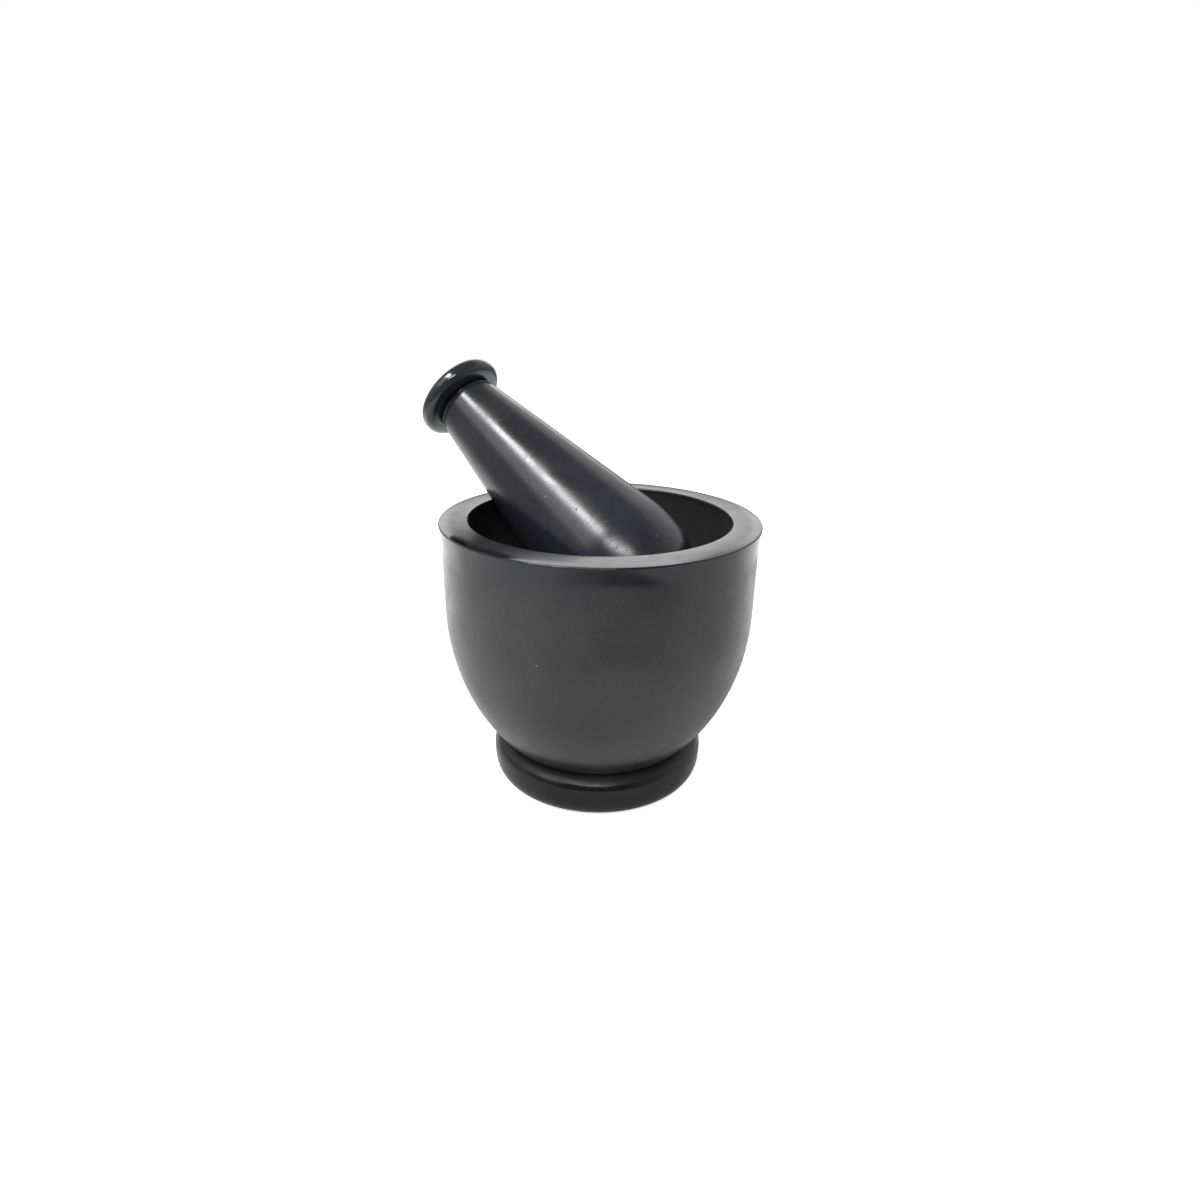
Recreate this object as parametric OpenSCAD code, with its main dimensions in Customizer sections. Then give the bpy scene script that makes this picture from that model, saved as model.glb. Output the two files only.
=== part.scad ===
// Turned stone mortar and pestle.
// A thick-walled bowl stands on a rolled foot. A tapered pestle with a disc knob stands loose in the bowl,
// with its head on the floor of the hollow and its shaft leaning on the rim.
// Millimetres. The origin is the centre of the foot's underside, on the mortar's axis, and +Z is up.
// Each outline is a list of [radius, height] points, turned about its own axis.

/* [Bowl] */
// Height of the mortar, from the table to the rim
mortar_h = 89; // [86:0.5:95]
// Widest diameter of the mortar, across its lip
lip_d = 101; // [100.6:0.1:104]
// Height of the stretch that flares out to the lip
lip_h = 9; // [6:0.1:12]
// Radius of the lip's outer edge
lip_round = 0.4; // [0.3:0.1:0.8]
// Slope of the gently rounded rim where it meets the lip's edge, in degrees; it is level at the mouth
rim_tilt = 5.5; // [2:0.5:8]
// Diameter of the straight upper wall
wall_d = 99.7; // [97:0.1:100]
// Height at which the wall starts to curve in
belly_z = 61; // [55:0.5:70]
// Diameter of the mouth of the hollow
mouth_d = 82.6; // [82.4:0.1:88]
// Radius of the edge between the rim and the hollow
mouth_round = 0.6; // [0.3:0.1:0.6]

/* [Foot] */
// Diameter of the foot at its widest
foot_d = 71.6; // [68:0.1:80]
// Height of the foot's widest line
foot_mid_z = 9.2; // [8:0.1:11]
// Diameter of the flat underside
base_d = 57.4; // [50:0.1:62]
// Squareness of the foot's lower quarter: 2 is a plain ellipse
foot_square = 3.35; // [2:0.05:4]
// How far the foot's upper quarter runs in before it would be level
foot_crown = 8.8; // [7:0.1:12]
// Diameter of the groove between the bowl and the foot
groove_d = 63.6; // [58:0.1:66]
// Height of the groove
groove_z = 13.8; // [12:0.1:16]
// Diameter of the round boss under the bowl that sits in the foot
boss_d = 40; // [30:1:50]
// Length of that boss
boss_h = 5; // [3:0.5:7]

/* [Pestle] */
// Diameter of the grinding head
head_d = 45; // [38:0.1:45]
// Length of the rounded head, up to its widest line
head_h = 23.5; // [18:0.1:28]
// Squareness of the head: 2 is a plain ellipse
head_square = 2.75; // [2:0.05:3.2]
// Radius of the easy curve from the widest line into the straight taper
head_ease = 38; // [10:1:80]
// Diameter of the shaft where it meets the knob's collar
neck_d = 21.9; // [18:0.1:22.4]
// Length of the shaft and head together
shaft_l = 98.3; // [90:0.1:110]
// Radius of the shaft's top edge
shaft_round = 0.4; // [0.2:0.1:0.8]
// Diameter of the peg that holds the knob
peg_d = 8; // [6:0.5:12]
// Length of that peg
peg_l = 14; // [8:1:20]

/* [Knob] */
// Diameter of the knob
knob_d = 30.2; // [30:0.1:36]
// Thickness of the knob's rounded edge
knob_t = 6.4; // [5:0.1:8]
// How far in the knob's rounding reaches, over its top and its underside
knob_round = 5; // [3.2:0.1:5.1]
// Squareness of the knob's edge: 2 is a plain half ellipse
knob_square = 2.5; // [2:0.05:3]
// Height of the dome on top of the knob
knob_dome = 1; // [0.5:0.1:2]
// Diameter of the fine collar ring under the knob
collar_d = 21.4; // [18:0.1:21.6]
// Thickness of the collar ring
collar_t = 0.8; // [0.6:0.1:1.2]
// Diameter at the bottom of the groove between the collar and the knob
knob_groove_d = 19.4; // [16:0.1:19.6]
// Width of that groove
knob_groove_w = 0.5; // [0.3:0.1:0.7]

/* [Pestle at rest] */
// Where the lowest point of the pestle's axis is when it leans on the rim
tip = [21.3, -12, 60.2];
// Lean of the pestle from upright, in degrees
lean = 53.8; // [53.4:0.1:54]
// Turn of the lean about the mortar's axis, in degrees, towards the back left
turn = 32.8; // [32.4:0.1:33.2]

/* [Hidden] */
$fn = 96;

// Clearance round a boss or a peg, filled by the cement that holds it
glue_gap = 0.1;
lip_r = lip_d / 2;
wall_r = wall_d / 2;
mouth_r = mouth_d / 2;
mouth_out = mouth_r + mouth_round;
foot_r = foot_d / 2;
base_r = base_d / 2;
groove_r = groove_d / 2;
boss_r = boss_d / 2;
head_r = head_d / 2;
neck_r = neck_d / 2;
peg_r = peg_d / 2;
knob_r = knob_d / 2;
collar_r = collar_d / 2;
// Start angle of the lip's edge, which carries on the slope of the flare
lip_lean = 9;
// The rim is an arc, level at the mouth, that runs smoothly into the lip's edge
rim_r = lip_round + (lip_r - lip_round - mouth_out) / sin(rim_tilt);
lip_z = mortar_h - rim_r + (rim_r - lip_round) * cos(rim_tilt);
// The wall is a quarter ellipse that passes through the groove
belly_h = (belly_z - groove_z) / sqrt(1 - pow(groove_r / wall_r, 2));
// The foot's upper quarter is an ellipse that passes through the same groove
crown_r = foot_r - foot_crown;
crown_h = (groove_z - foot_mid_z) / sqrt(1 - pow((groove_r - crown_r) / foot_crown, 2));
// Angle of the straight taper, which touches both the head's easy curve and the shaft's top edge
ease_r = head_r - head_ease;
top_r = neck_r - shaft_round;
top_l = shaft_l - shaft_round;
taper = atan2(top_l - head_h, top_r - ease_r)
    - acos((head_ease - shaft_round) / norm([top_r - ease_r, top_l - head_h]));
// Where the knob's underside and its middle are along the pestle's axis
knob_z = shaft_l + collar_t + knob_groove_w;
knob_mid_z = knob_z + knob_t / 2;

// Points on a circle's arc about [r, z], from one angle to another
function arc(r, z, radius, from, to, steps) =
    [for (i = [0:steps]) let (a = from + (to - from) * i / steps)
        [r + radius * cos(a), z + radius * sin(a)]];

// A point on a squared ellipse about [r, z]: angle 0 points outwards and 90 points up
function squared(r, z, across, up, square, a) =
    [r + across * pow(abs(cos(a)), 2 / square),
     z + up * sign(sin(a)) * pow(abs(sin(a)), 2 / square)];

// Points on a squared ellipse, from one angle to another
function squared_arc(r, z, across, up, square, from, to, steps) =
    [for (i = [0:steps]) squared(r, z, across, up, square, from + (to - from) * i / steps)];

// The bowl's outside, from the groove up to the straight wall
function belly_points(steps = 28) =
    let (low = acos((belly_z - groove_z) / belly_h))
    [for (i = [0:steps]) let (a = low + (90 - low) * i / steps)
        [wall_r * sin(a), belly_z - belly_h * cos(a)]];

// The short flare under the lip
function flare_points(steps = 6) =
    let (
        z0 = mortar_h - lip_h,
        z1 = lip_z - lip_round * sin(lip_lean),
        r1 = lip_r - lip_round * (1 - cos(lip_lean))
    )
    [for (i = [0:steps - 1]) let (t = i / steps)
        [wall_r + (r1 - wall_r) * t * t, z0 + (z1 - z0) * t]];

// The bowl: boss, seat, outside, lip, rim, mouth and round hollow
module bowl_outline() {
    polygon(concat(
        [[0, groove_z - boss_h], [boss_r, groove_z - boss_h], [boss_r, groove_z]],
        belly_points(),
        flare_points(),
        arc(lip_r - lip_round, lip_z, lip_round, -lip_lean, 90 - rim_tilt, 8),
        arc(mouth_out, mortar_h - rim_r, rim_r, 90 - rim_tilt * 5 / 6, 90 - rim_tilt / 6, 4),
        arc(mouth_out, mortar_h - mouth_round, mouth_round, 90, 180, 5),
        arc(0, mortar_h - mouth_round, mouth_r, -3, -87, 28),
        [[0, mortar_h - mouth_round - mouth_r]]
    ));
}

// The foot: flat underside, squared lower quarter, round upper quarter, seat and socket for the boss
module foot_outline() {
    crown_end = acos((groove_r - crown_r) / foot_crown);
    polygon(concat(
        [[0, 0]],
        squared_arc(base_r, foot_mid_z, foot_r - base_r, foot_mid_z, foot_square, -90, 0, 18),
        [for (i = [1:12]) let (a = crown_end * i / 12)
            [crown_r + foot_crown * cos(a), foot_mid_z + crown_h * sin(a)]],
        [
            [boss_r + glue_gap, groove_z],
            [boss_r + glue_gap, groove_z - boss_h - glue_gap],
            [0, groove_z - boss_h - glue_gap]
        ]
    ));
}

// The shaft: rounded head, easy curve, straight taper, top edge and the socket for the knob's peg
module shaft_outline() {
    polygon(concat(
        squared_arc(0, head_h, head_r, head_h, head_square, -90, 0, 26),
        arc(ease_r, head_h, head_ease, taper / 6, taper, 5),
        arc(top_r, top_l, shaft_round, taper, 90, 4),
        [
            [peg_r + glue_gap, shaft_l],
            [peg_r + glue_gap, shaft_l - peg_l - glue_gap],
            [0, shaft_l - peg_l - glue_gap]
        ]
    ));
}

// The knob: peg, collar ring, groove, rounded disc and low dome
module knob_outline() {
    flat_r = knob_r - knob_round;
    dome_r = (flat_r * flat_r + knob_dome * knob_dome) / (2 * knob_dome);
    dome_half = asin(flat_r / dome_r);
    top_z = knob_z + knob_t + knob_dome;
    polygon(concat(
        [[0, shaft_l - peg_l], [peg_r, shaft_l - peg_l], [peg_r, shaft_l]],
        squared_arc(collar_r - collar_t / 2, shaft_l + collar_t / 2, collar_t / 2, collar_t / 2, 2, -90, 60, 6),
        [[knob_groove_d / 2, knob_z - knob_groove_w / 2], [knob_groove_d / 2 + knob_groove_w / 2, knob_z]],
        squared_arc(flat_r, knob_mid_z, knob_round, knob_t / 2, knob_square, -90, 90, 24),
        arc(0, top_z - dome_r, dome_r, 90 - dome_half * 7 / 8, 90 - dome_half / 8, 6),
        [[0, top_z]]
    ));
}

// Stands a piece of the pestle in the bowl, leaning on the rim
module leaning() {
    translate(tip) rotate([0, -lean, -turn]) children();
}

module mortar_bowl() {
    color([0.17, 0.17, 0.18]) rotate_extrude() bowl_outline();
}

module mortar_foot() {
    color([0.10, 0.10, 0.11]) rotate_extrude() foot_outline();
}

module pestle_shaft() {
    color([0.20, 0.20, 0.22]) leaning() rotate_extrude() shaft_outline();
}

module pestle_knob() {
    color([0.09, 0.11, 0.12]) leaning() rotate_extrude() knob_outline();
}

mortar_bowl();
mortar_foot();
pestle_shaft();
pestle_knob();
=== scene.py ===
"""A turned black stone mortar and pestle on a pale studio floor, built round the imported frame."""

import math

import bmesh
import bpy
from mathutils import Matrix, Vector, noise


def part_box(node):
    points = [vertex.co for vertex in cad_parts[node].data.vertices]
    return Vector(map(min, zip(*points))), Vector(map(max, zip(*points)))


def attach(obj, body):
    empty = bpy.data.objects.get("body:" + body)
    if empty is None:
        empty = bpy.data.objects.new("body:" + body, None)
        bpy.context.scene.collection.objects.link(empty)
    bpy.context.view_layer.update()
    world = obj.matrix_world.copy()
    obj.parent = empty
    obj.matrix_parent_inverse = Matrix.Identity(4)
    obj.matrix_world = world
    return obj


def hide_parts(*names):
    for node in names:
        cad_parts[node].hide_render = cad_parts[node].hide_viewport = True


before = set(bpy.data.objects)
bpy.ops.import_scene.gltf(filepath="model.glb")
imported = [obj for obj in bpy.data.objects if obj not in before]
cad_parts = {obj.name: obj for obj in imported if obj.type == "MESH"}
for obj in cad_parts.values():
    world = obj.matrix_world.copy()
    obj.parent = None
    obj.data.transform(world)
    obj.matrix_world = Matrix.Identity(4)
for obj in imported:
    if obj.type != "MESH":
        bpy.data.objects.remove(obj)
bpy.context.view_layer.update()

MM = 0.001

# ---------------------------------------------------------------- sizes, in millimetres as in the design
bowl_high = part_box("mortar_bowl")[1] / MM
foot_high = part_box("mortar_foot")[1] / MM

MORTAR_H = bowl_high.z
LIP_R = bowl_high.x
LIP_H = 9.0
LIP_ROUND = 0.4
LIP_LEAN = math.radians(9)
RIM_TILT = math.radians(5.5)
WALL_R = 49.85
BELLY_Z = 61.0
MOUTH_R = 41.3
MOUTH_ROUND = 0.6
MOUTH_OUT = MOUTH_R + MOUTH_ROUND
RIM_R = LIP_ROUND + (LIP_R - LIP_ROUND - MOUTH_OUT) / math.sin(RIM_TILT)
LIP_Z = MORTAR_H - RIM_R + (RIM_R - LIP_ROUND) * math.cos(RIM_TILT)

FOOT_R = foot_high.x
FOOT_MID_Z = 9.2
FOOT_BASE_R = 28.7
FOOT_SQUARE = 3.35
FOOT_CROWN = 8.8
GROOVE_R = 31.8
GROOVE_Z = foot_high.z

HEAD_R = 22.5
HEAD_H = 23.5
HEAD_SQUARE = 2.75
HEAD_EASE = 38.0
NECK_R = 10.95
SHAFT_L = 98.3
SHAFT_ROUND = 0.4

KNOB_R = 15.1
KNOB_T = 6.4
KNOB_ROUND = 5.0
KNOB_SQUARE = 2.5
KNOB_DOME = 1.0
COLLAR_R = 10.7
COLLAR_T = 0.8
KNOB_GROOVE_R = 9.7
KNOB_GROOVE_W = 0.5
KNOB_Z = SHAFT_L + COLLAR_T + KNOB_GROOVE_W

# Where the pestle rests: the low end of its axis, its lean from upright and the turn of that lean
PESTLE_TIP = Vector((21.3, -12.0, 60.2))
PESTLE_LEAN = math.radians(53.8)
PESTLE_TURN = math.radians(32.8)
PESTLE_PLACE = (
    Matrix.Translation(PESTLE_TIP * MM)
    @ Matrix.Rotation(-PESTLE_TURN, 4, "Z")
    @ Matrix.Rotation(-PESTLE_LEAN, 4, "Y")
)

# Points round each turned piece
AROUND = 288
# How far in the hidden joints are closed: between bowl and foot, and between shaft and knob
SEAT_REACH = 6
COLLAR_REACH = 4
JOINT_STEPS = 4


# ---------------------------------------------------------------- outlines: lists of (radius, height)
def arc(r, z, radius, start, stop, steps):
    """Points on a circle about (r, z), from one angle to another, in degrees."""
    points = []
    for i in range(steps + 1):
        a = math.radians(start + (stop - start) * i / steps)
        points.append((r + radius * math.cos(a), z + radius * math.sin(a)))
    return points


def squared_arc(r, z, across, up, square, start, stop, steps):
    """Points on a squared ellipse about (r, z): a square of 2 is a plain ellipse."""
    points = []
    for i in range(steps + 1):
        a = math.radians(start + (stop - start) * i / steps)
        c, s = math.cos(a), math.sin(a)
        x = across * abs(c) ** (2 / square)
        y = up * math.copysign(abs(s) ** (2 / square), s)
        points.append((r + x, z + y))
    return points


def line(a, b, steps):
    """Points from a towards b, without b."""
    return [(a[0] + (b[0] - a[0]) * i / steps, a[1] + (b[1] - a[1]) * i / steps) for i in range(steps)]


def evenly(points, spacing):
    """The same outline with points a set distance apart, keeping its ends."""
    lengths = [0.0]
    for p, q in zip(points, points[1:]):
        lengths.append(lengths[-1] + math.dist(p, q))
    count = max(2, round(lengths[-1] / spacing))
    out = []
    k = 0
    for i in range(count + 1):
        want = lengths[-1] * i / count
        while k < len(points) - 2 and lengths[k + 1] < want:
            k += 1
        span = lengths[k + 1] - lengths[k]
        t = (want - lengths[k]) / span if span else 0.0
        out.append(tuple(points[k][j] + (points[k + 1][j] - points[k][j]) * t for j in (0, 1)))
    return out


def bowl_outline():
    """Seat, belly, straight wall, flare, lip, rim, mouth and round hollow."""
    belly_h = (BELLY_Z - GROOVE_Z) / math.sqrt(1 - (GROOVE_R / WALL_R) ** 2)
    low = math.acos((BELLY_Z - GROOVE_Z) / belly_h)
    belly = []
    belly_steps = 240
    for i in range(belly_steps + 1):
        a = low + (math.pi / 2 - low) * i / belly_steps
        belly.append((WALL_R * math.sin(a), BELLY_Z - belly_h * math.cos(a)))
    z0 = MORTAR_H - LIP_H
    z1 = LIP_Z - LIP_ROUND * math.sin(LIP_LEAN)
    r1 = LIP_R - LIP_ROUND * (1 - math.cos(LIP_LEAN))
    flare = []
    flare_steps = 40
    for i in range(flare_steps):
        t = i / flare_steps
        flare.append((WALL_R + (r1 - WALL_R) * t * t, z0 + (z1 - z0) * t))
    tilt = math.degrees(RIM_TILT)
    lip = arc(LIP_R - LIP_ROUND, LIP_Z, LIP_ROUND, -math.degrees(LIP_LEAN), 90 - tilt, 12)
    rim = arc(MOUTH_OUT, MORTAR_H - RIM_R, RIM_R, 90 - tilt, 90, 60)
    mouth = arc(MOUTH_OUT, MORTAR_H - MOUTH_ROUND, MOUTH_ROUND, 90, 180, 10)
    hollow = arc(0, MORTAR_H - MOUTH_ROUND, MOUTH_R, 0, -90, 400)
    return (
        line((GROOVE_R - SEAT_REACH, GROOVE_Z), (GROOVE_R, GROOVE_Z), JOINT_STEPS)
        + evenly(belly + flare, spacing=0.55)
        + lip[1:]
        + evenly(rim, spacing=0.5)[1:-1]
        + mouth
        + evenly(hollow, spacing=0.6)[1:]
    )


def foot_outline():
    """Flat underside, squared lower quarter, round crown and seat."""
    crown_r = FOOT_R - FOOT_CROWN
    reach = (GROOVE_R - crown_r) / FOOT_CROWN
    crown_h = (GROOVE_Z - FOOT_MID_Z) / math.sqrt(1 - reach**2)
    low = squared_arc(FOOT_BASE_R, FOOT_MID_Z, FOOT_R - FOOT_BASE_R, FOOT_MID_Z, FOOT_SQUARE, -90, 0, 200)
    high = squared_arc(crown_r, FOOT_MID_Z, FOOT_CROWN, crown_h, 2, 0, math.degrees(math.acos(reach)), 80)
    return (
        evenly([(0, 0), (FOOT_BASE_R, 0)], spacing=1.6)[:-1]
        + evenly(low + high[1:], spacing=0.3)
        + line((GROOVE_R, GROOVE_Z), (GROOVE_R - SEAT_REACH, GROOVE_Z), JOINT_STEPS)[1:]
    )


def shaft_outline():
    """Rounded head, easy curve, straight taper and the shaft's top edge."""
    head = squared_arc(0, HEAD_H, HEAD_R, HEAD_H, HEAD_SQUARE, -90, 0, 400)
    ease_r = HEAD_R - HEAD_EASE
    top_r, top_l = NECK_R - SHAFT_ROUND, SHAFT_L - SHAFT_ROUND
    span = math.dist((ease_r, HEAD_H), (top_r, top_l))
    taper = math.atan2(top_l - HEAD_H, top_r - ease_r) - math.acos((HEAD_EASE - SHAFT_ROUND) / span)
    taper = math.degrees(taper)
    ease = arc(ease_r, HEAD_H, HEAD_EASE, 0, taper, 40)
    top = arc(top_r, top_l, SHAFT_ROUND, taper, 90, 6)
    return (
        evenly(head + ease[1:] + [top[0]], spacing=0.6)
        + top[1:]
        + line(top[-1], (COLLAR_R - COLLAR_REACH, SHAFT_L), JOINT_STEPS)[1:]
    )


def knob_outline():
    """Collar ring, groove, rounded disc and low dome."""
    flat_r = KNOB_R - KNOB_ROUND
    dome_r = (flat_r**2 + KNOB_DOME**2) / (2 * KNOB_DOME)
    half = math.degrees(math.asin(flat_r / dome_r))
    collar_half = COLLAR_T / 2
    collar_mid = (COLLAR_R - collar_half, SHAFT_L + collar_half)
    collar = arc(*collar_mid, collar_half, -90, 60, 10)
    edge = squared_arc(flat_r, KNOB_Z + KNOB_T / 2, KNOB_ROUND, KNOB_T / 2, KNOB_SQUARE, -90, 90, 200)
    dome = arc(0, KNOB_Z + KNOB_T + KNOB_DOME - dome_r, dome_r, 90 - half, 90, 60)
    groove = [(KNOB_GROOVE_R, KNOB_Z - KNOB_GROOVE_W / 2), (KNOB_GROOVE_R + KNOB_GROOVE_W / 2, KNOB_Z)]
    return (
        line((COLLAR_R - COLLAR_REACH, SHAFT_L), collar[0], JOINT_STEPS)
        + collar
        + evenly([collar[-1]] + groove, spacing=0.2)[1:]
        + evenly(groove[-1:] + edge[:1], spacing=0.3)[1:-1]
        + evenly(edge, spacing=0.25)
        + evenly(dome, spacing=0.5)[1:]
    )


# ---------------------------------------------------------------- turning an outline into a mesh
RIPPLE_FINENESS = 3.1
RIPPLE_SHARE = 0.25


def worn(point, outward, depth, grain, seed):
    """Moves a point inwards a little, the way hand polishing leaves a turned surface uneven."""
    where = Vector(point) / grain + Vector((seed, 0, 0))
    swell = 0.5 + 0.5 * noise.noise(where)
    ripple = 0.5 + 0.5 * noise.noise(where * RIPPLE_FINENESS + Vector((0, seed, 0)))
    return Vector(point) - outward * depth * ((1 - RIPPLE_SHARE) * swell + RIPPLE_SHARE * ripple)


def turned(name, outline, wear_depth, wear_grain, seed, place=None):
    """A closed-skin body of revolution about Z, slightly worn, placed and smooth shaded."""
    mesh = bpy.data.meshes.new(name)
    shape = bmesh.new()
    rows = []
    count = len(outline)
    for i, (r, z) in enumerate(outline):
        before, after = outline[max(i - 1, 0)], outline[min(i + 1, count - 1)]
        along = Vector((after[0] - before[0], 0, after[1] - before[1]))
        side = Vector((along.z, 0, -along.x)).normalized()
        if r < 1e-6:
            rows.append([shape.verts.new((0, 0, z * MM))])
            continue
        row = []
        for j in range(AROUND):
            a = 2 * math.pi * j / AROUND
            c, s = math.cos(a), math.sin(a)
            outward = Vector((side.x * c, side.x * s, side.z))
            point = worn((r * c, r * s, z), outward, wear_depth, wear_grain, seed)
            row.append(shape.verts.new(point * MM))
        rows.append(row)
    for low, high in zip(rows, rows[1:]):
        for j in range(AROUND):
            k = (j + 1) % AROUND
            if len(low) == 1:
                shape.faces.new((low[0], high[k], high[j]))
            elif len(high) == 1:
                shape.faces.new((low[j], low[k], high[0]))
            else:
                shape.faces.new((low[j], low[k], high[k], high[j]))
    for end in (rows[0], rows[-1]):
        if len(end) > 1:
            shape.faces.new(end if end is rows[-1] else end[::-1])
    if place:
        shape.transform(place)
    shape.to_mesh(mesh)
    shape.free()
    mesh.shade_smooth()
    piece = bpy.data.objects.new(name, mesh)
    bpy.context.scene.collection.objects.link(piece)
    return piece


# ---------------------------------------------------------------- node helpers
def tree_of(owner):
    """The emptied node tree of a material or a world."""
    owner.use_nodes = True
    owner.node_tree.nodes.clear()
    return owner.node_tree


def add(tree, kind, label=None, **settings):
    node = tree.nodes.new(kind)
    if label:
        node.label = label
    for key, value in settings.items():
        setattr(node, key, value)
    return node


def maths(tree, operation, a, b=None, c=None, clamp=False):
    node = add(tree, "ShaderNodeMath", operation=operation, use_clamp=clamp)
    for socket, value in zip(node.inputs, (a, b, c)):
        if value is None:
            continue
        if isinstance(value, (int, float)):
            socket.default_value = value
        else:
            tree.links.new(value, socket)
    return node.outputs[0]


def smooth(tree, value, low, high, out_low=0.0, out_high=1.0):
    """Runs smoothly from out_low to out_high while value goes from low to high."""
    node = add(tree, "ShaderNodeMapRange", interpolation_type="SMOOTHSTEP")
    tree.links.new(value, node.inputs["Value"])
    for key, number in (("From Min", low), ("From Max", high), ("To Min", out_low), ("To Max", out_high)):
        if isinstance(number, (int, float)):
            node.inputs[key].default_value = number
        else:
            tree.links.new(number, node.inputs[key])
    return node.outputs["Result"]


def times(tree, *values):
    """The product of several numbers or sockets."""
    product = values[0]
    for value in values[1:]:
        product = maths(tree, "MULTIPLY", product, value)
    return product


def between(tree, value, start, full, ease, end):
    """Rises from 0 at start to 1 at full, and falls from 1 at ease to 0 at end."""
    return times(tree, smooth(tree, value, start, full), smooth(tree, value, ease, end, 1.0, 0.0))


def close_to(tree, value, centre, full, end):
    """1 within full of a centre, falling to 0 at end."""
    away = maths(tree, "ABSOLUTE", maths(tree, "SUBTRACT", value, centre))
    return smooth(tree, away, full, end, 1.0, 0.0)


def mix_colour(tree, factor, a, b):
    node = add(tree, "ShaderNodeMix", data_type="RGBA")
    for socket, value in ((node.inputs[0], factor), (node.inputs[6], a), (node.inputs[7], b)):
        if isinstance(value, (int, float)):
            socket.default_value = value
        elif isinstance(value, tuple):
            socket.default_value = (*value, 1.0)
        else:
            tree.links.new(value, socket)
    return node.outputs[2]


def mix_numbers(tree, factor, a, b):
    node = add(tree, "ShaderNodeMix", data_type="FLOAT")
    for socket, value in ((node.inputs[0], factor), (node.inputs[2], a), (node.inputs[3], b)):
        if isinstance(value, (int, float)):
            socket.default_value = value
        else:
            tree.links.new(value, socket)
    return node.outputs[0]


def noise_of(tree, vector, scale, detail=4.0, roughness=0.55, distortion=0.0):
    node = add(tree, "ShaderNodeTexNoise")
    tree.links.new(vector, node.inputs["Vector"])
    node.inputs["Scale"].default_value = scale
    node.inputs["Detail"].default_value = detail
    node.inputs["Roughness"].default_value = roughness
    node.inputs["Distortion"].default_value = distortion
    return node.outputs[0]


def new_group(name, inputs, outputs):
    group = bpy.data.node_groups.new(name, "ShaderNodeTree")
    for label, kind, value in inputs:
        socket = group.interface.new_socket(label, in_out="INPUT", socket_type=kind)
        if value is not None:
            socket.default_value = value
    for label, kind in outputs:
        group.interface.new_socket(label, in_out="OUTPUT", socket_type=kind)
    return group, group.nodes.new("NodeGroupInput"), group.nodes.new("NodeGroupOutput")


# ---------------------------------------------------------------- shared effects of worked black stone
SPECKS_PER_METRE = 300
PITS_PER_METRE = 330.0
GRAINS_PER_METRE = 2200
SPECK_COLOUR = (0.22, 0.22, 0.2)
SCRATCH_DEPTH = 4e-6
# How far the roughness wanders either side of a stone's own
GLOSS_SPREAD = 0.05


def stone_body_group():
    """Fine mottling of the stone and sparse pale mineral specks."""
    group, src, out = new_group(
        "stone_body",
        [
            ("Place", "NodeSocketVector", None),
            ("Dark", "NodeSocketColor", (0.01, 0.01, 0.01, 1)),
            ("Light", "NodeSocketColor", (0.02, 0.02, 0.02, 1)),
            ("Speck", "NodeSocketColor", (0.3, 0.3, 0.28, 1)),
        ],
        [("Color", "NodeSocketColor")],
    )
    place = src.outputs["Place"]
    cloud = noise_of(group, place, 55, 5, 0.6, 0.3)
    fine = noise_of(group, place, 900, 3, 0.6)
    mottle = maths(group, "ADD", times(group, cloud, 0.65), times(group, fine, 0.35))
    mottle = smooth(group, mottle, 0.35, 0.68)
    body = mix_colour(group, mottle, src.outputs["Dark"], src.outputs["Light"])
    cells = add(group, "ShaderNodeTexVoronoi", "specks", feature="F1")
    group.links.new(place, cells.inputs["Vector"])
    cells.inputs["Scale"].default_value = SPECKS_PER_METRE
    rare = add(group, "ShaderNodeSeparateColor")
    group.links.new(cells.outputs["Color"], rare.inputs[0])
    chosen = smooth(group, rare.outputs[0], 0.93, 0.95)
    size = maths(group, "MULTIPLY_ADD", rare.outputs[1], 0.08, 0.06)
    near = maths(group, "SUBTRACT", 1.0, smooth(group, cells.outputs["Distance"], 0.0, size))
    speckled = mix_colour(group, times(group, near, chosen), body, src.outputs["Speck"])
    group.links.new(speckled, out.inputs["Color"])
    return group


def pits_group():
    """Small open pits, as a height that drops and a mask."""
    group, src, out = new_group(
        "stone_pits",
        [
            ("Place", "NodeSocketVector", None),
            ("Scale", "NodeSocketFloat", 240.0),
            ("Rarity", "NodeSocketFloat", 0.9),
        ],
        [("Height", "NodeSocketFloat"), ("Mask", "NodeSocketFloat")],
    )
    cells = add(group, "ShaderNodeTexVoronoi", "pits", feature="F1")
    group.links.new(src.outputs["Place"], cells.inputs["Vector"])
    group.links.new(src.outputs["Scale"], cells.inputs["Scale"])
    rare = add(group, "ShaderNodeSeparateColor")
    group.links.new(cells.outputs["Color"], rare.inputs[0])
    chosen = maths(group, "GREATER_THAN", rare.outputs[2], src.outputs["Rarity"])
    size = maths(group, "MULTIPLY_ADD", rare.outputs[0], 0.12, 0.06)
    near = maths(group, "SUBTRACT", 1.0, smooth(group, cells.outputs["Distance"], 0.0, size))
    mask = times(group, near, chosen)
    group.links.new(mask, out.inputs["Mask"])
    group.links.new(times(group, mask, -1.0), out.inputs["Height"])
    return group


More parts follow.
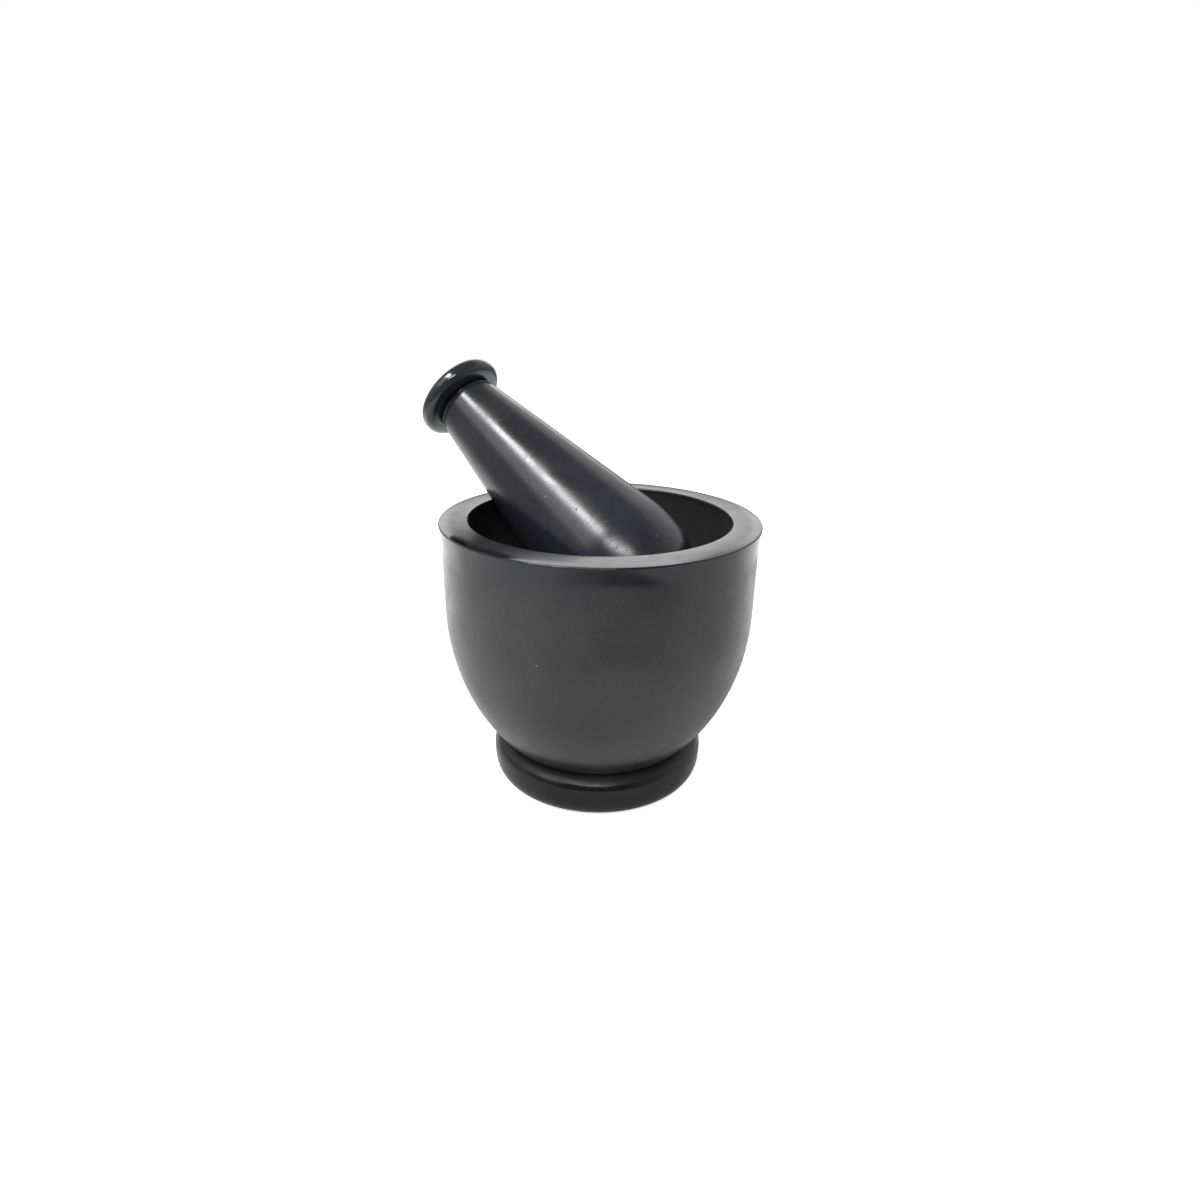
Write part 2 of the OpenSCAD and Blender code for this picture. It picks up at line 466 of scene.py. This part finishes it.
def lathe_group():
    """Fine rings left by turning and sanding. Along is the distance along the turning axis."""
    group, src, out = new_group(
        "turning_rings",
        [
            ("Along", "NodeSocketFloat", 0.0),
            ("Place", "NodeSocketVector", None),
            ("Rings per Metre", "NodeSocketFloat", 2600.0),
        ],
        [("Height", "NodeSocketFloat"), ("Streaks", "NodeSocketFloat")],
    )
    wander = noise_of(group, src.outputs["Place"], 40, 3)
    along = maths(group, "MULTIPLY_ADD", wander, 0.0012, src.outputs["Along"])
    rings = add(group, "ShaderNodeTexNoise", noise_dimensions="1D")
    group.links.new(along, rings.inputs["W"])
    group.links.new(src.outputs["Rings per Metre"], rings.inputs["Scale"])
    rings.inputs["Detail"].default_value = 1
    rings.inputs["Roughness"].default_value = 0.5
    patchy = smooth(group, noise_of(group, src.outputs["Place"], 90, 4), 0.35, 0.7)
    group.links.new(times(group, rings.outputs[0], patchy), out.inputs["Height"])
    group.links.new(smooth(group, rings.outputs[0], 0.45, 0.75), out.inputs["Streaks"])
    return group


def scratch_group():
    """Hair scratches from hand rubbing, in three directions.

    Each set is a stack of thin sheets that cuts the skin in long lines. It fades where the skin lies
    along the sheets.
    """
    group, src, out = new_group(
        "hair_scratches",
        [
            ("Place", "NodeSocketVector", None),
            ("Amount", "NodeSocketFloat", 1.0),
        ],
        [("Height", "NodeSocketFloat"), ("Mask", "NodeSocketFloat")],
    )
    skin = add(group, "ShaderNodeNewGeometry").outputs["Normal"]
    masks = []
    for angle, finer in ((25, 1.0), (-38, 1.4), (70, 0.8)):
        turned_ways = []
        for way in (src.outputs["Place"], skin):
            turn = add(group, "ShaderNodeVectorRotate", "scratch direction", rotation_type="EULER_XYZ")
            group.links.new(way, turn.inputs["Vector"])
            turn.inputs["Rotation"].default_value = (math.radians(angle), math.radians(angle * 0.6), 0.0)
            turned_ways.append(turn.outputs[0])
        stretch = add(group, "ShaderNodeVectorMath", operation="MULTIPLY")
        group.links.new(turned_ways[0], stretch.inputs[0])
        stretch.inputs[1].default_value = (70 * finer, 70 * finer, 1300 * finer)
        lines = smooth(group, noise_of(group, stretch.outputs[0], 1.0, 0, 0.5), 0.69, 0.77)
        facing = add(group, "ShaderNodeSeparateXYZ")
        group.links.new(turned_ways[1], facing.inputs[0])
        across = smooth(group, maths(group, "ABSOLUTE", facing.outputs[2]), 0.45, 0.75, 1.0, 0.0)
        masks.append(times(group, lines, across))
    together = maths(group, "MAXIMUM", maths(group, "MAXIMUM", masks[0], masks[1]), masks[2])
    together = times(group, together, src.outputs["Amount"])
    group.links.new(together, out.inputs["Mask"])
    group.links.new(times(group, together, -1.0), out.inputs["Height"])
    return group


STONE_BODY = stone_body_group()
PITS = pits_group()
RINGS = lathe_group()
SCRATCHES = scratch_group()


def placed(tree, group, **values):
    """A shared group in a tree, with each input set to a number, a colour or a socket."""
    node = add(tree, "ShaderNodeGroup", group.name)
    node.node_tree = group
    for key, value in values.items():
        socket = node.inputs[key.replace("_", " ")]
        if isinstance(value, (int, float)):
            socket.default_value = value
        elif isinstance(value, tuple):
            socket.default_value = (*value, 1.0) if len(value) == 3 else value
        else:
            tree.links.new(value, socket)
    return node


def bump_chain(tree, layers):
    """One Bump node after another, for (height socket, metres deep) layers."""
    normal = None
    for height, depth in layers:
        bump = add(tree, "ShaderNodeBump")
        bump.inputs["Strength"].default_value = 1.0
        bump.inputs["Distance"].default_value = depth
        tree.links.new(height, bump.inputs["Height"])
        if normal is not None:
            tree.links.new(normal, bump.inputs["Normal"])
        normal = bump.outputs[0]
    return normal


def along_axis(tree, place, axis):
    """Distance of a place along an axis through the origin."""
    node = add(tree, "ShaderNodeVectorMath", operation="DOT_PRODUCT")
    tree.links.new(place, node.inputs[0])
    node.inputs[1].default_value = axis
    return node.outputs["Value"]


def stone(
    name, dark, light, gloss, ior, axis, rings_per_metre=1500.0, scratch=0.0,
    ring_depth=2e-6, hand_depth=2.5e-5, grain_depth=6e-6, pit_depth=5e-5,
):
    """A worked black stone: colour, gloss and relief all vary over it. Depths are in metres."""
    material = bpy.data.materials.new(name)
    tree = tree_of(material)
    shader = add(tree, "ShaderNodeBsdfPrincipled")
    output = add(tree, "ShaderNodeOutputMaterial")
    tree.links.new(shader.outputs[0], output.inputs[0])
    shader.inputs["IOR"].default_value = ior
    place = add(tree, "ShaderNodeTexCoord").outputs["Object"]
    body = placed(tree, STONE_BODY, Place=place, Dark=dark, Light=light, Speck=SPECK_COLOUR)
    pits = placed(tree, PITS, Place=place, Scale=PITS_PER_METRE, Rarity=0.95)
    along = along_axis(tree, place, axis)
    rings = placed(tree, RINGS, Place=place, Along=along, Rings_per_Metre=rings_per_metre)
    scratches = placed(tree, SCRATCHES, Place=place, Amount=scratch)
    tree.links.new(body.outputs["Color"], shader.inputs["Base Color"])
    smear = noise_of(tree, place, 70, 5, 0.6, 0.6)
    rough = smooth(tree, smear, 0.3, 0.7, gloss - GLOSS_SPREAD, gloss + GLOSS_SPREAD)
    rough = maths(tree, "MULTIPLY_ADD", rings.outputs["Streaks"], GLOSS_SPREAD * 0.5, rough)
    rough = maths(tree, "MULTIPLY_ADD", scratches.outputs["Mask"], 0.12, rough)
    rough = maths(tree, "MULTIPLY_ADD", pits.outputs["Mask"], 0.4, rough, clamp=True)
    tree.links.new(rough, shader.inputs["Roughness"])
    normal = bump_chain(
        tree,
        [
            (noise_of(tree, place, 120, 2, 0.5), hand_depth),
            (noise_of(tree, place, GRAINS_PER_METRE, 3, 0.6), grain_depth),
            (rings.outputs["Height"], ring_depth),
            (scratches.outputs["Height"], SCRATCH_DEPTH),
            (pits.outputs["Height"], pit_depth),
        ],
    )
    tree.links.new(normal, shader.inputs["Normal"])
    return material, tree, shader, place


# ---------------------------------------------------------------- the four finishes
UPRIGHT = (0.0, 0.0, 1.0)
PESTLE_AXIS = tuple(PESTLE_PLACE.to_3x3() @ Vector(UPRIGHT))


def split(tree, vector):
    parts = add(tree, "ShaderNodeSeparateXYZ")
    tree.links.new(vector, parts.inputs[0])
    return parts.outputs


def tint(tree, shader, mask, colour):
    """Pulls the base colour towards another one inside a mask."""
    old = shader.inputs["Base Color"].links[0].from_socket
    tree.links.new(mix_colour(tree, mask, old, colour), shader.inputs["Base Color"])


def dull(tree, shader, mask, change):
    """Adds to the roughness inside a mask."""
    old = shader.inputs["Roughness"].links[0].from_socket
    tree.links.new(maths(tree, "MULTIPLY_ADD", mask, change, old, clamp=True), shader.inputs["Roughness"])


def bowl_stone():
    """Honed outside, a polished band under the lip darkened with painted shade, and a dull ground hollow.
    """
    material, tree, shader, place = stone(
        "honed_black_stone", (0.010, 0.010, 0.012), (0.023, 0.021, 0.023), 0.30, 1.5, UPRIGHT,
        rings_per_metre=600.0, ring_depth=2.5e-6, hand_depth=1e-5, grain_depth=1e-6, pit_depth=1.5e-5,
    )
    x, y, height = split(tree, place)
    squares = (maths(tree, "POWER", x, 2.0), maths(tree, "POWER", y, 2.0))
    radius = maths(tree, "SQRT", maths(tree, "ADD", *squares))
    inside = maths(tree, "LESS_THAN", radius, (MOUTH_R + 0.05) * MM)
    below_rim = smooth(tree, height, (MORTAR_H - 2.5) * MM, (MORTAR_H - 0.4) * MM, 1.0, 0.0)
    above_seat = maths(tree, "GREATER_THAN", height, (GROOVE_Z + 20) * MM)
    hollow = times(tree, inside, below_rim, above_seat)
    tint(tree, shader, hollow, (0.0045, 0.0045, 0.005))
    dull(tree, shader, hollow, 0.34)
    cloudy = maths(tree, "MULTIPLY_ADD", noise_of(tree, place, 45, 4, 0.6), 16 * MM, height)
    band = smooth(tree, cloudy, 86 * MM, 93 * MM)
    outside = smooth(tree, radius, (LIP_R - 4.5) * MM, (LIP_R - 0.7) * MM)
    band = times(tree, band, outside)
    # Painted shade: the band under the lip is darkened in colour, and made glossier as a polished finish.
    tint(tree, shader, band, (0.003, 0.0035, 0.006))
    dull(tree, shader, band, -0.18)
    rim = smooth(tree, height, (LIP_Z - 0.2) * MM, (LIP_Z + 0.2) * MM)
    dull(tree, shader, rim, -0.07)
    return material


def foot_stone():
    """Polished, but duller over the crown where a cloth does not reach, and lighter there as a painted
    sheen.
    """
    material, tree, shader, place = stone(
        "polished_foot_stone", (0.0025, 0.0025, 0.003), (0.006, 0.006, 0.007), 0.20, 1.40, UPRIGHT,
        scratch=0.5,
    )
    height = split(tree, place)[2]
    crown = maths(tree, "MULTIPLY_ADD", noise_of(tree, place, 130, 4, 0.6), 1.6 * MM, height)
    crown = smooth(tree, crown, 12.3 * MM, 13.1 * MM)
    # Painted sheen: the crown is lightened in colour; its extra roughness is a duller finish.
    tint(tree, shader, crown, (0.010, 0.010, 0.011))
    dull(tree, shader, crown, 0.24)
    return material


def shaft_stone():
    """Satin, with a faint violet cast."""
    return stone(
        "satin_shaft_stone", (0.010, 0.010, 0.015), (0.018, 0.018, 0.026), 0.24, 1.5, PESTLE_AXIS,
        scratch=0.35,
    )[0]


def knob_stone():
    """Polished by the palm, with a faint blue-green cast."""
    return stone(
        "polished_knob_stone", (0.009, 0.013, 0.018), (0.018, 0.024, 0.031), 0.17, 1.5, PESTLE_AXIS,
        scratch=0.2,
    )[0]


# ---------------------------------------------------------------- the pieces
def put(piece, material, node, body):
    """Finishes a piece, ties it to its body and hides the node it stands for."""
    piece.data.materials.append(material)
    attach(piece, body)
    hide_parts(node)


put(
    turned("turned_bowl", bowl_outline(), wear_depth=0.10, wear_grain=26.0, seed=3.0),
    bowl_stone(),
    "mortar_bowl",
    "mortar",
)
put(
    turned("rolled_foot", foot_outline(), wear_depth=0.07, wear_grain=18.0, seed=11.0),
    foot_stone(),
    "mortar_foot",
    "mortar",
)
put(
    turned(
        "pestle_head_and_shaft", shaft_outline(),
        wear_depth=0.10, wear_grain=17.0, seed=23.0, place=PESTLE_PLACE,
    ),
    shaft_stone(),
    "pestle_shaft",
    "pestle",
)
put(
    turned("disc_knob", knob_outline(), wear_depth=0.06, wear_grain=9.0, seed=31.0, place=PESTLE_PLACE),
    knob_stone(),
    "pestle_knob",
    "pestle",
)


# ---------------------------------------------------------------- floor, light and camera
FLOOR_R = 2.5
FLOOR_TONE = 0.86
# Light of the white table by itself, as seen and as it shines on the stone
TABLE_GLOW_SEEN = 0.75
TABLE_GLOW = 0.42
ROOM_LIGHT = 0.32
ROOM_LIGHT_IN_FRONT = 0.20
WALL_LIGHT = 0.56
WINDOW_LIGHT = 1.8
LEDGE_LIGHT = 1.15


def table_shade(tree, place, distance):
    """How bright each part of the table is where the stone mirrors it, as painted light and shade: a
    painted dark strip in front and a painted shadow round the foot. Places are in metres.
    """
    x, y, _ = split(tree, place)
    # Painted shade: a dark strip on the table in front, not seen by the camera.
    strip = between(tree, y, -0.225, -0.2, -0.175, -0.15)
    dark_strip = times(tree, strip, smooth(tree, x, -0.16, 0.06))
    near = maths(tree, "MULTIPLY_ADD", dark_strip, -0.70, smooth(tree, y, -0.34, -0.22, 0.35, 1.0))
    far = smooth(tree, y, 0.03, 0.13, 1.0, 1.5)
    left_to_right = smooth(tree, x, -0.25, 0.25, 0.90, 0.76)
    # Painted shadow: the table is darker round the foot.
    beside_foot = smooth(tree, distance, 0.035, 0.11, 0.66, 0.95)
    away = smooth(tree, distance, 0.3, 0.5, 1.0, 0.4)
    return times(tree, near, far, left_to_right, beside_foot, away)


def studio_floor():
    """A pale table that is lit a little by itself and fades out into the white room."""
    shape = bmesh.new()
    bmesh.ops.create_circle(shape, cap_ends=True, radius=FLOOR_R, segments=96)
    mesh = bpy.data.meshes.new("studio_floor")
    shape.to_mesh(mesh)
    shape.free()
    floor = bpy.data.objects.new("studio_floor", mesh)
    bpy.context.scene.collection.objects.link(floor)
    material = bpy.data.materials.new("pale_floor")
    tree = tree_of(material)
    output = add(tree, "ShaderNodeOutputMaterial")
    matt = add(tree, "ShaderNodeBsdfDiffuse")
    glow = add(tree, "ShaderNodeEmission", "light of the white table")
    lit = add(tree, "ShaderNodeAddShader")
    clear = add(tree, "ShaderNodeBsdfTransparent")
    blend = add(tree, "ShaderNodeMixShader")
    place = add(tree, "ShaderNodeTexCoord").outputs["Object"]
    length = add(tree, "ShaderNodeVectorMath", operation="LENGTH")
    tree.links.new(place, length.inputs[0])
    distance = length.outputs["Value"]
    shade = table_shade(tree, place, distance)
    seen = add(tree, "ShaderNodeLightPath").outputs["Is Camera Ray"]
    strength = mix_numbers(tree, seen, times(tree, shade, TABLE_GLOW), TABLE_GLOW_SEEN)
    tree.links.new(strength, glow.inputs["Strength"])
    # The same painted light and shade sets the table's colour where the camera does not see it.
    tone = mix_numbers(tree, seen, times(tree, shade, FLOOR_TONE), FLOOR_TONE)
    tree.links.new(mix_colour(tree, tone, (0, 0, 0), (1, 1, 1)), matt.inputs["Color"])
    tree.links.new(smooth(tree, distance, 0.5, 2.2), blend.inputs[0])
    tree.links.new(matt.outputs[0], lit.inputs[0])
    tree.links.new(glow.outputs[0], lit.inputs[1])
    tree.links.new(lit.outputs[0], blend.inputs[1])
    tree.links.new(clear.outputs[0], blend.inputs[2])
    tree.links.new(blend.outputs[0], output.inputs[0])
    mesh.materials.append(material)


def room_light(tree):
    """Light of the room in each direction: a pale back wall, a window over a ledge, and dimmer sides."""
    x, y, z = split(tree, add(tree, "ShaderNodeTexCoord").outputs["Generated"])
    back = smooth(tree, y, -0.3, 0.9)
    under_ceiling = smooth(tree, z, 0.76, 0.82, 1.0, 0.0)
    rising = smooth(tree, z, 0.03, 0.30)
    upper = smooth(tree, z, 0.45, 0.62, 1.0, 1.45)
    wall = times(tree, back, under_ceiling, rising, upper)
    room = smooth(tree, y, -0.9, -0.5, ROOM_LIGHT_IN_FRONT, ROOM_LIGHT)
    light = maths(tree, "MULTIPLY_ADD", wall, WALL_LIGHT, room)
    behind = maths(tree, "GREATER_THAN", y, 0.0)
    window = between(tree, z, 0.26, 0.36, 0.46, 0.55)
    window = times(tree, window, close_to(tree, x, 0.0, 0.11, 0.19), behind)
    light = maths(tree, "MULTIPLY_ADD", window, WINDOW_LIGHT, light)
    ledge = between(tree, z, 0.12, 0.24, 0.30, 0.42)
    ledge = times(tree, ledge, close_to(tree, x, -0.04, 0.26, 0.40), behind)
    light = maths(tree, "MULTIPLY_ADD", ledge, LEDGE_LIGHT, light)
    right_side = smooth(tree, x, 0.5, 1.0, 0.0, 0.4)
    left_side = smooth(tree, x, -1.0, -0.5, 0.25, 0.0)
    sides = maths(tree, "ADD", right_side, left_side)
    low = smooth(tree, z, 0.25, 0.85, 1.0, 0.5)
    return maths(tree, "MULTIPLY_ADD", sides, low, light)


def studio_world():
    """Plain white where the camera sees it, and a room of soft light for the stone to mirror."""
    world = bpy.data.worlds.new("studio")
    bpy.context.scene.world = world
    tree = tree_of(world)
    output = add(tree, "ShaderNodeOutputWorld")
    room = add(tree, "ShaderNodeBackground")
    room.inputs["Color"].default_value = (1, 1, 1, 1)
    white = add(tree, "ShaderNodeBackground")
    white.inputs["Color"].default_value = (1, 1, 1, 1)
    white.inputs["Strength"].default_value = 1.0
    pick = add(tree, "ShaderNodeMixShader")
    tree.links.new(room_light(tree), room.inputs["Strength"])
    tree.links.new(add(tree, "ShaderNodeLightPath").outputs["Is Camera Ray"], pick.inputs[0])
    tree.links.new(room.outputs[0], pick.inputs[1])
    tree.links.new(white.outputs[0], pick.inputs[2])
    tree.links.new(pick.outputs[0], output.inputs[0])


LIGHT_AIM = Vector((0, 0, 0.08))
LIGHT_AWAY = 1.0


def soft_box(name, azimuth, elevation, width, height, power):
    """An area light seen from the aim at an azimuth (0 is +Y, 90 is +X) and an elevation."""
    data = bpy.data.lights.new(name, "AREA")
    data.shape = "RECTANGLE"
    data.size = width
    data.size_y = height
    data.energy = power
    lamp = bpy.data.objects.new(name, data)
    bpy.context.scene.collection.objects.link(lamp)
    a, e = math.radians(azimuth), math.radians(elevation)
    towards = Vector((math.sin(a) * math.cos(e), math.cos(a) * math.cos(e), math.sin(e)))
    lamp.location = LIGHT_AIM + towards * LIGHT_AWAY
    lamp.rotation_euler = towards.to_track_quat("Z", "Y").to_euler()


CAMERA_LENS = 22.72
CAMERA_TILT = math.radians(21.33)
CAMERA_ROLL = math.radians(0.89)
CAMERA_AWAY = 0.250
CAMERA_AIM = Vector((0.00024, 0, 0.06025))


def set_camera():
    """A camera that looks down a little at the object, and is rolled a little."""
    data = bpy.data.cameras.new("camera")
    data.lens = CAMERA_LENS
    data.sensor_width = 36.0
    data.clip_start = 0.01
    camera = bpy.data.objects.new("camera", data)
    bpy.context.scene.collection.objects.link(camera)
    ahead = Vector((0, math.cos(CAMERA_TILT), -math.sin(CAMERA_TILT)))
    upward = Vector((0, math.sin(CAMERA_TILT), math.cos(CAMERA_TILT)))
    right = Vector((1, 0, 0))
    rolled_right = right * math.cos(CAMERA_ROLL) + upward * math.sin(CAMERA_ROLL)
    rolled_up = upward * math.cos(CAMERA_ROLL) - right * math.sin(CAMERA_ROLL)
    turn = Matrix((rolled_right, rolled_up, -ahead)).transposed()
    camera.matrix_world = Matrix.Translation(CAMERA_AIM - ahead * CAMERA_AWAY) @ turn.to_4x4()
    bpy.context.scene.camera = camera


studio_floor()
studio_world()
soft_box("key_box", azimuth=-128, elevation=58, width=0.42, height=0.18, power=6.9)
soft_box("fill_box", azimuth=-176, elevation=47, width=0.42, height=0.12, power=3.6)
soft_box("wall_glow", azimuth=-120, elevation=39, width=0.46, height=0.38, power=1.25)
set_camera()
bpy.context.scene.view_settings.view_transform = "Standard"
